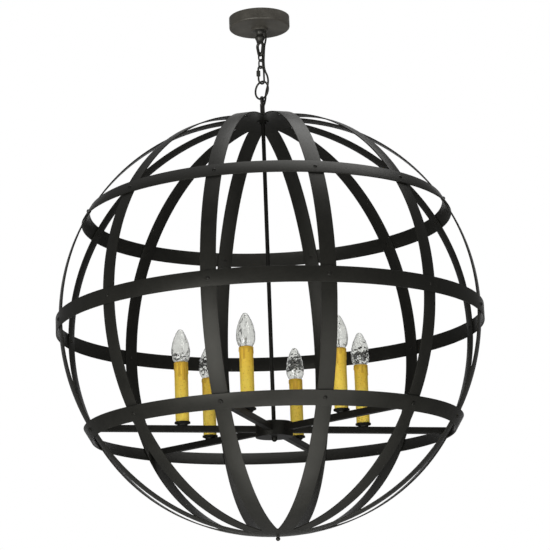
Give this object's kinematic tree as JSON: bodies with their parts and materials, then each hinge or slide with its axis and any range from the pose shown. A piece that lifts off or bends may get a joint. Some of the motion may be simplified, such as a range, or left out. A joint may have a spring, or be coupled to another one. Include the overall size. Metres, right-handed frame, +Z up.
{
  "type": "pendant light",
  "caption": "Globe-shaped cage pendant of flat dark straps and bands with a candle cluster on square arms, hung by links from a round ceiling canopy.",
  "frame": {"origin": "on the ceiling plane, at the middle of the crossbar that carries the light", "axes": "+Z up, towards the ceiling; the pictured front faces -Y and +X is to its right"},
  "size_m": [1.0669, 1.067, 1.3512],
  "materials": {
    "dark_bronze": "matte",
    "bare_steel": "zinc",
    "candle_sleeve": "waxy",
    "socket": "moulded",
    "bulb_glass": "clear",
    "bulb_cap": "plated",
    "cord": "flexible",
    "wiring": "flexible"
  },
  "bodies": {
    "ceiling_fitting": {"crossbar": "bare_steel", "threaded_nipple": "bare_steel", "nipple_locknut": "bare_steel", "canopy_loop": "dark_bronze", "supply_cord": "cord"},
    "canopy_cover": {"canopy": "dark_bronze"},
    "collar": {"screw_collar": "dark_bronze"},
    "upper_link": {"upper_chain_link": "dark_bronze"},
    "lower_link": {"lower_chain_link": "dark_bronze"},
    "quick_link": {"quick_link": "dark_bronze"},
    "quick_nut": {"quick_link_nut": "dark_bronze"},
    "ring": {"hanging_ring": "dark_bronze"},
    "globe": {"arm_1": "dark_bronze", "arm_2": "dark_bronze", "arm_3": "dark_bronze", "arm_4": "dark_bronze", "arm_5": "dark_bronze", "arm_6": "dark_bronze", "arm_screws": "dark_bronze", "bottom_bolt": "bare_steel", "bottom_finial": "dark_bronze", "candle_cups": "dark_bronze", "candle_sleeves": "candle_sleeve", "center_rod": "dark_bronze", "equator_band": "dark_bronze", "equator_rivets": "dark_bronze", "hoop_1": "dark_bronze", "hoop_2": "dark_bronze", "hoop_3": "dark_bronze", "hoop_4": "dark_bronze", "hoop_5": "dark_bronze", "hoop_6": "dark_bronze", "hub_body": "dark_bronze", "hub_cap_nut": "dark_bronze", "hub_cover": "dark_bronze", "inner_wiring": "wiring", "lower_band": "dark_bronze", "lower_band_rivets": "dark_bronze", "pole_locknuts": "bare_steel", "pole_plates": "dark_bronze", "pole_washers": "bare_steel", "socket_stems": "bare_steel", "sockets": "socket", "stem_eye": "dark_bronze", "upper_band": "dark_bronze", "upper_band_rivets": "dark_bronze"},
    "bulb_1": {"bulb_glass_1": "bulb_glass", "bulb_cap_1": "bulb_cap"},
    "bulb_2": {"bulb_glass_2": "bulb_glass", "bulb_cap_2": "bulb_cap"},
    "bulb_3": {"bulb_glass_3": "bulb_glass", "bulb_cap_3": "bulb_cap"},
    "bulb_4": {"bulb_glass_4": "bulb_glass", "bulb_cap_4": "bulb_cap"},
    "bulb_5": {"bulb_glass_5": "bulb_glass", "bulb_cap_5": "bulb_cap"},
    "bulb_6": {"bulb_glass_6": "bulb_glass", "bulb_cap_6": "bulb_cap"}
  },
  "joints": [
    {"name": "upper_link_swing", "type": "hinge", "parent": "ceiling_fitting", "child": "upper_link", "pos_m": [0, 0, -0.1008], "axis": [0.7071, -0.7071, 0], "range_deg": [-15, 15], "deforming": ["supply_cord"]},
    {"name": "lower_link_swing", "type": "hinge", "parent": "upper_link", "child": "lower_link", "pos_m": [0, 0, -0.1177], "axis": [0.7071, 0.7071, 0], "range_deg": [-15, 15], "deforming": ["supply_cord"]},
    {"name": "quick_link_swing", "type": "hinge", "parent": "lower_link", "child": "quick_link", "pos_m": [0, 0, -0.1364], "axis": [0.7071, -0.7071, 0], "range_deg": [-15, 15], "deforming": ["supply_cord"]},
    {"name": "ring_swing", "type": "hinge", "parent": "quick_link", "child": "ring", "pos_m": [0, 0, -0.1782], "axis": [0.7071, 0.7071, 0], "range_deg": [-15, 15], "deforming": ["supply_cord"]},
    {"name": "globe_swing", "type": "hinge", "parent": "ring", "child": "globe", "pos_m": [0, 0, -0.219], "axis": [0.7071, -0.7071, 0], "range_deg": [-15, 15], "deforming": ["supply_cord"]},
    {"name": "canopy_drop", "type": "slide", "parent": "ceiling_fitting", "child": "canopy_cover", "axis": [0, 0, -1], "range_m": [0, 0.05], "deforming": ["supply_cord"]},
    {"name": "collar_turn", "type": "hinge", "parent": "canopy_cover", "child": "collar", "pos_m": [0, 0, -0.0328], "axis": [0, 0, 1], "continuous": true},
    {"name": "quick_nut_open", "type": "slide", "parent": "quick_link", "child": "quick_nut", "axis": [0, 0, -1], "range_m": [0, 0.007]},
    {"name": "bulb_1_out", "type": "slide", "parent": "globe", "child": "bulb_1", "axis": [0, 0, 1], "range_m": [0, 0.036]},
    {"name": "bulb_2_out", "type": "slide", "parent": "globe", "child": "bulb_2", "axis": [0, 0, 1], "range_m": [0, 0.036]},
    {"name": "bulb_3_out", "type": "slide", "parent": "globe", "child": "bulb_3", "axis": [0, 0, 1], "range_m": [0, 0.036]},
    {"name": "bulb_4_out", "type": "slide", "parent": "globe", "child": "bulb_4", "axis": [0, 0, 1], "range_m": [0, 0.036]},
    {"name": "bulb_5_out", "type": "slide", "parent": "globe", "child": "bulb_5", "axis": [0, 0, 1], "range_m": [0, 0.036]},
    {"name": "bulb_6_out", "type": "slide", "parent": "globe", "child": "bulb_6", "axis": [0, 0, 1], "range_m": [0, 0.036]}
  ]
}
